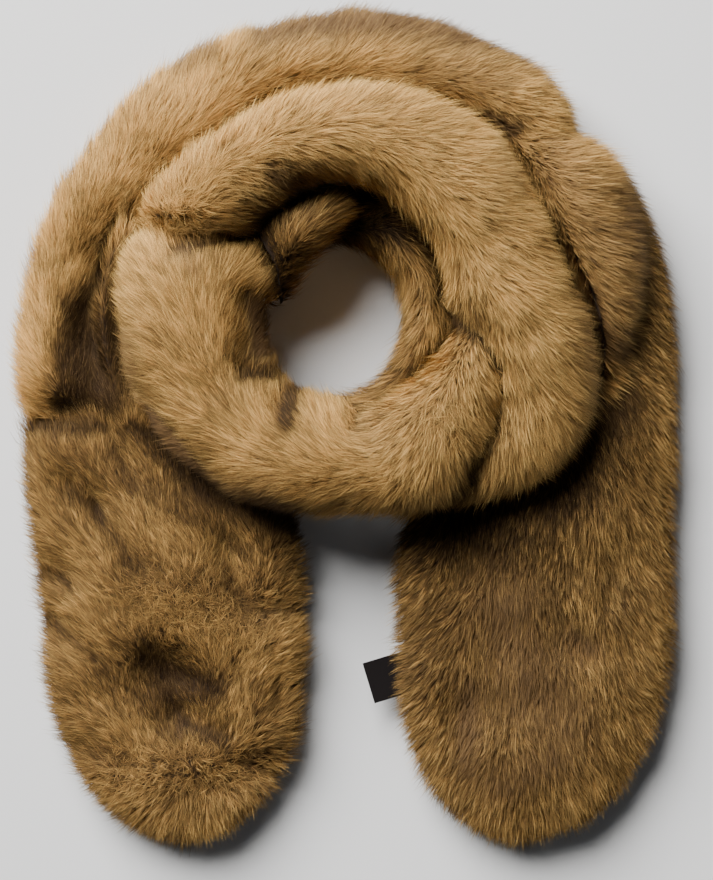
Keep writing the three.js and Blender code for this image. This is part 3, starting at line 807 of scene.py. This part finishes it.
# Painted shade: the creases where the coil runs under the ring are painted darker into the hair.
MIDDLE_COIL_PAINTED_SHADE = [
    Patch(-45, 128, -42, 77, 5, 0.9), Patch(-42, 131, -1, 146, 4, 0.9), Patch(-1, 146, 15, 134, 4, 0.9),
]
MIDDLE_COIL_ENDS = [(-66, 54), (-47, 67), (10, 146)]
middle_form = cloth_form(["middle_coil"], troughs=[], seed=56, pile=INNER_PILE)
middle_cloth = cloth_piece("middle_coil_cloth", middle_form, "middle_coil", MIDDLE_COIL_ENDS)
middle_fur = grow_fur("middle_coil_fur", middle_cloth, ["middle_coil"], guards=2000, downs=6000,
                      tone=0.40, seed=57, lays=MIDDLE_COIL_LAYS, painted_shade_and_light=MIDDLE_COIL_PAINTED_SHADE)


# The ring: the middle of the scarf, wound on top of the other turns. It is rolled so that both fur panels
# turn their pile outward, and nothing but its own weight holds it.
RING_NODES = ("back_coil", "front_coil")
RING_TROUGHS = [
    Trough(-33, 137, -66, 117, 5, 7), Trough(-64, 127, -106, 119, 8, -8),
    Trough(-105, 108, -118, 98, 5, 3), Trough(-58, 77, -56, 49, 8, 14), Trough(-65, 36, -45, 34, 5, 14),
    Trough(-34, 25, -42, 4, 6, 13), Trough(-124, 16, -105, -9, 5, 10), Trough(-105, -9, -87, -27, 5, 8),
    Trough(-87, -27, -58, -43, 5, 4), Trough(-88, 17, -67, 23, 6, 6), Trough(-103, 64, -79, 49, 10, 3),
    Trough(-76, -2, -51, -14, 8, 4), Trough(-73, 97, -61, 98, 7, 3), Trough(-28, 16, -10, -8, 8, -2),
    Trough(61, 64, 74, 58, 6, 16), Trough(76, 56, 91, 36, 5, 17), Trough(91, 36, 94, 16, 5, 17),
    Trough(94, 16, 90, -6, 5, 14), Trough(90, -6, 80, -25, 5, 9), Trough(80, -25, 56, -44, 5, 6),
    Trough(10, 17, 3, -3, 4, 10), Trough(65, 44, 74, -8, 12, -4), Trough(10, 13, 2, -5, 4, 9),
    Trough(73, 108, 92, 88, 10, 3), Trough(104, 58, 119, 76, 8, 3), Trough(-4, 153, -28, 149, 6, 4),
]
ring_form = cloth_form(RING_NODES, RING_TROUGHS, seed=61)

BACK_COIL_LAYS = [
    Lay(-123, 117, 82), Lay(-126, 132, 72), Lay(-111, 141, 62), Lay(-99, 123, 40), Lay(-75, 126, 10),
    Lay(-93, 144, 50), Lay(-87, 158, 58), Lay(-63, 141, -5), Lay(-63, 158, 20), Lay(-58, 176, 48),
    Lay(-40, 158, -15), Lay(-46, 141, -20), Lay(-28, 182, 40), Lay(-22, 164, -15), Lay(-22, 149, -40),
    Lay(-4, 194, 38), Lay(-1, 170, -20), Lay(2, 152, -52), Lay(20, 200, 20), Lay(20, 176, 8),
    Lay(23, 158, -30), Lay(20, 144, -58), Lay(38, 188, 5), Lay(44, 164, -12), Lay(38, 141, -55),
    Lay(56, 176, -5), Lay(61, 152, -15), Lay(50, 126, -55), Lay(79, 158, -10), Lay(73, 129, -22),
    Lay(56, 111, -70), Lay(91, 135, -12), Lay(67, 93, -68), Lay(91, 105, -28), Lay(115, 99, -18),
    Lay(61, 75, -78), Lay(85, 75, -50), Lay(109, 69, -35), Lay(133, 69, -20), Lay(73, 57, -78),
    Lay(97, 45, -62), Lay(121, 39, -40), Lay(142, 45, -25), Lay(103, 16, -72), Lay(127, 4, -55),
    Lay(145, 16, -35), Lay(109, -14, -85), Lay(127, -26, -62), Lay(91, -32, -125), Lay(103, -44, -95),
    Lay(61, -47, -155), Lay(44, -50, -165),
]
BACK_COIL_GREYS = [
    Patch(-43, 154, -33, 148, 6, 0.8), Patch(-25, 152, 2, 155, 5, 0.7), Patch(53, 111, 56, 81, 4, 0.4),
    Patch(-55, 132, -43, 138, 5, 0.7), Patch(136, 81, 145, 16, 8, 0.5), Patch(20, 135, 44, 116, 4, 0.6),
    Patch(91, 164, 97, 141, 6, 0.3), Patch(61, 66, 73, 60, 5, 0.8),
]
# Painted shade: the creases between the turns and along the neck hole are painted darker into the hair; the
# patches of negative strength paint light on the upper left and across the top.
BACK_COIL_PAINTED_SHADE_AND_LIGHT = [
    Patch(-105, 107, -66, 115, 3, 0.95), Patch(-66, 115, -33, 137, 3.5, 0.95),
    Patch(-33, 140, -1, 146, 3, 0.9), Patch(-117, 138, -67, 130, 9, -0.5),
    Patch(-46, 174, 14, 188, 20, -0.25), Patch(-40, 160, -28, 155, 4, 0.5),
    Patch(-17, 153, 11, 149, 4, 0.4), Patch(-1, 146, 32, 127, 3, 0.9), Patch(32, 127, 52, 105, 3, 0.9),
    Patch(62, 65, 72, 59, 5.5, 1), Patch(77, 55, 91, 36, 4.5, 1), Patch(91, 36, 95, 16, 5, 1),
    Patch(95, 16, 91, -6, 5, 0.95), Patch(91, -6, 74, -35, 6, 0.8), Patch(74, -35, 44, -49, 6, 0.9),
    Patch(86, 69, 91, 60, 4, 0.35),
]
BACK_COIL_TOUSLED = [
    Patch(-113, 127, -99, 132, 9, 0.8), Patch(-37, 157, -10, 154, 7, 0.4),
]
back_coil_cloth = cloth_piece("back_coil_cloth", ring_form, "back_coil")
back_coil_fur = grow_fur("back_coil_fur", back_coil_cloth, RING_NODES, guards=24000, downs=100000,
                         tone=0.76, seed=62, lays=BACK_COIL_LAYS, greys=BACK_COIL_GREYS,
                         painted_shade_and_light=BACK_COIL_PAINTED_SHADE_AND_LIGHT, tousled=BACK_COIL_TOUSLED)

FRONT_COIL_LAYS = [
    Lay(-100, 98, 102), Lay(-118, 98, 112), Lay(-133, 91, 128), Lay(-79, 100, 95), Lay(-58, 103, 75),
    Lay(-67, 88, 40), Lay(-85, 82, 95), Lay(-127, 70, 138), Lay(-106, 70, 122), Lay(-88, 64, 106),
    Lay(-73, 70, 95), Lay(-58, 64, 88), Lay(-124, 46, 148), Lay(-100, 40, 128), Lay(-79, 40, 110),
    Lay(-58, 37, 60), Lay(-121, 25, 158), Lay(-100, 16, 145), Lay(-79, 16, 125), Lay(-61, 19, 105),
    Lay(-46, 25, 95), Lay(-112, 1, 172), Lay(-88, -2, 162), Lay(-64, -2, 130), Lay(-49, -2, 118),
    Lay(-88, -23, 182), Lay(-64, -23, 168), Lay(-73, -35, 186), Lay(-40, -38, 196), Lay(-34, -20, 158),
    Lay(-34, 19, 112), Lay(-16, 7, 128), Lay(-1, 4, 118), Lay(-28, -8, 138), Lay(-4, -20, 140),
    Lay(-16, -38, 178), Lay(17, -17, 160), Lay(8, -41, 196), Lay(27, -45, 225), Lay(21, -29, 178),
    Lay(19, -2, 195), Lay(15, 12, 208), Lay(27, 20, 220), Lay(39, 30, 232), Lay(53, 43, 246),
    Lay(65, 54, 262), Lay(33, -8, 222), Lay(39, 9, 240), Lay(53, 25, 252), Lay(65, 38, 264),
    Lay(74, 49, 284), Lay(81, 40, 298), Lay(87, 25, 304), Lay(77, 16, 284), Lay(90, 7, 312),
    Lay(62, 4, 265), Lay(74, -8, 298), Lay(83, -9, 318), Lay(47, -17, 240), Lay(59, -20, 280),
    Lay(68, -27, 310), Lay(56, -39, 292), Lay(41, -32, 250), Lay(43, -46, 262), Lay(-49, 46, 30),
    Lay(-49, 91, 60),
]
FRONT_COIL_GREYS = [
    Patch(-124, 14, -105, -9, 5, 0.9), Patch(-105, -9, -87, -29, 6, 0.9),
    Patch(-87, -29, -28, -49, 6, 0.9), Patch(-61, 76, -55, 49, 6, 0.8),
    Patch(-133, 58, -127, 22, 5, 0.5), Patch(-51, 105, -46, 85, 4, 0.6),
    Patch(-10, -51, 32, -51, 3, 0.5), Patch(-100, 105, -91, 94, 4, 0.4),
]
# Painted shade: the creases, the fold pits and broad shading over the left and front are painted darker
# into the hair; the patch of negative strength paints light.
FRONT_COIL_PAINTED_SHADE_AND_LIGHT = [
    Patch(-106, 108, -66, 116, 4, 0.95), Patch(-66, 116, -47, 122, 4, 0.8),
    Patch(-47, 114, -45, 82, 3, 0.8), Patch(-58, 76, -54, 50, 8, 1), Patch(-65, 35, -46, 34, 5.5, 1),
    Patch(-35, 23, -42, 4, 6, 1), Patch(-120, 11, -96, -19, 5.5, 1), Patch(-96, -19, -85, -31, 5, 0.85),
    Patch(-51, 76, -45, 46, 5.5, 0.95), Patch(13, 7, 65, 54, 5, 1), Patch(10, 17, 3, -3, 4.5, 1),
    Patch(-85, -33, -28, -50, 4, 0.6), Patch(-61, -44, -28, -51, 3, 0.7),
    Patch(-46, -8, -40, -20, 4, 0.3), Patch(-118, 82, -88, 28, 26, 0.18),
    Patch(-88, -14, 2, -32, 16, 0.2), Patch(-131, 70, -131, 22, 4, 0.4),
    Patch(-94, 108, -76, 98, 5, 0.25), Patch(-25, 19, -7, 1, 8, -0.4), Patch(-88, 16, -67, 20, 4, 0.4),
    Patch(-73, 52, -64, 44, 5, 0.4), Patch(-118, 58, -94, 46, 5, 0.3),
]
FRONT_COIL_TOUSLED = [
    Patch(56, 10, 75, -8, 8, 0.7), Patch(32, -24, 44, -39, 7, 0.5),
]
front_coil_cloth = cloth_piece("front_coil_cloth", ring_form, "front_coil")
front_coil_fur = grow_fur("front_coil_fur", front_coil_cloth, RING_NODES, guards=20000, downs=75000,
                          tone=0.62, seed=72, lays=FRONT_COIL_LAYS, greys=FRONT_COIL_GREYS,
                          painted_shade_and_light=FRONT_COIL_PAINTED_SHADE_AND_LIGHT, tousled=FRONT_COIL_TOUSLED)


# The label: a black woven tape, folded over and caught in the edge seam of the right tail. It is bare.
# Its form is the solid's own, and it gets a ribbed weave.
TAPE_COLOR = (0.010, 0.008, 0.008, 1)
WEAVE_SCALE = 700
RIB_DEPTH = 0.2 * MM
label_tape = bpy.data.materials.new("label_tape")
label_tape.use_nodes = True
nodes, links = label_tape.node_tree.nodes, label_tape.node_tree.links
weave = nodes.new("ShaderNodeTexWave")
weave.inputs["Scale"].default_value = WEAVE_SCALE
weave.inputs["Distortion"].default_value = 1.5
ribs = nodes.new("ShaderNodeBump")
ribs.inputs["Strength"].default_value = 0.5
ribs.inputs["Distance"].default_value = RIB_DEPTH
shader = nodes["Principled BSDF"]
shader.inputs["Base Color"].default_value = TAPE_COLOR
shader.inputs["Roughness"].default_value = 0.9
shader.inputs["Specular IOR Level"].default_value = 0.12
links.new(weave.outputs["Fac"], ribs.inputs["Height"])
links.new(ribs.outputs["Normal"], shader.inputs["Normal"])
label_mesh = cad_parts["label_tab"].data
label_mesh.materials.clear()
label_mesh.materials.append(label_tape)
